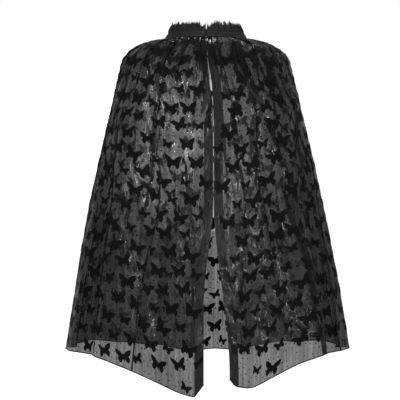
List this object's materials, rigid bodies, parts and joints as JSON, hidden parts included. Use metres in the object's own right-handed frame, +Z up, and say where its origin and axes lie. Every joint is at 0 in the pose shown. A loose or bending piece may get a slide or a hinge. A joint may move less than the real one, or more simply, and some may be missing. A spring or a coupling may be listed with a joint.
{
  "type": "sheer masquerade cape",
  "caption": "Short sheer black cape gathered into a narrow neckband with a pleated stand ruffle, open down the front, hook and eye at the neck.",
  "frame": {"origin": "centre of the neck opening, level with the lower edge of the neckband", "axes": "+Z up along the wearer's neck, -Y the way the wearer faces, +X the wearer's left"},
  "size_m": [0.69, 0.4648, 0.8971],
  "materials": {
    "organza": "sheer glossy black organza with flocked butterflies and dots",
    "facing": "opaque matt black cloth",
    "ribbon": "smooth dark grey-black band",
    "net": "pleated black net with a frayed edge",
    "black_wire": "black lacquered wire"
  },
  "bodies": {
    "neck_and_back": {"back_panel": "organza", "neckband_outer": "ribbon", "neckband_inner": "ribbon", "ruffle_outer": "net", "ruffle_inner": "net", "neck_hook": "black_wire", "neck_eye": "black_wire"},
    "right_front": {"right_front_panel": "organza", "right_front_facing": "facing"},
    "left_front": {"left_front_panel": "organza", "left_front_facing": "facing"}
  },
  "joints": [
    {"name": "right_front_swing", "type": "hinge", "parent": "neck_and_back", "child": "right_front", "pos_m": [-0.102, 0, 0], "axis": [0, 0, -1], "range_deg": [0, 35]},
    {"name": "left_front_swing", "type": "hinge", "parent": "neck_and_back", "child": "left_front", "pos_m": [0.102, 0, 0], "axis": [0, 0, 1], "range_deg": [0, 35]}
  ]
}
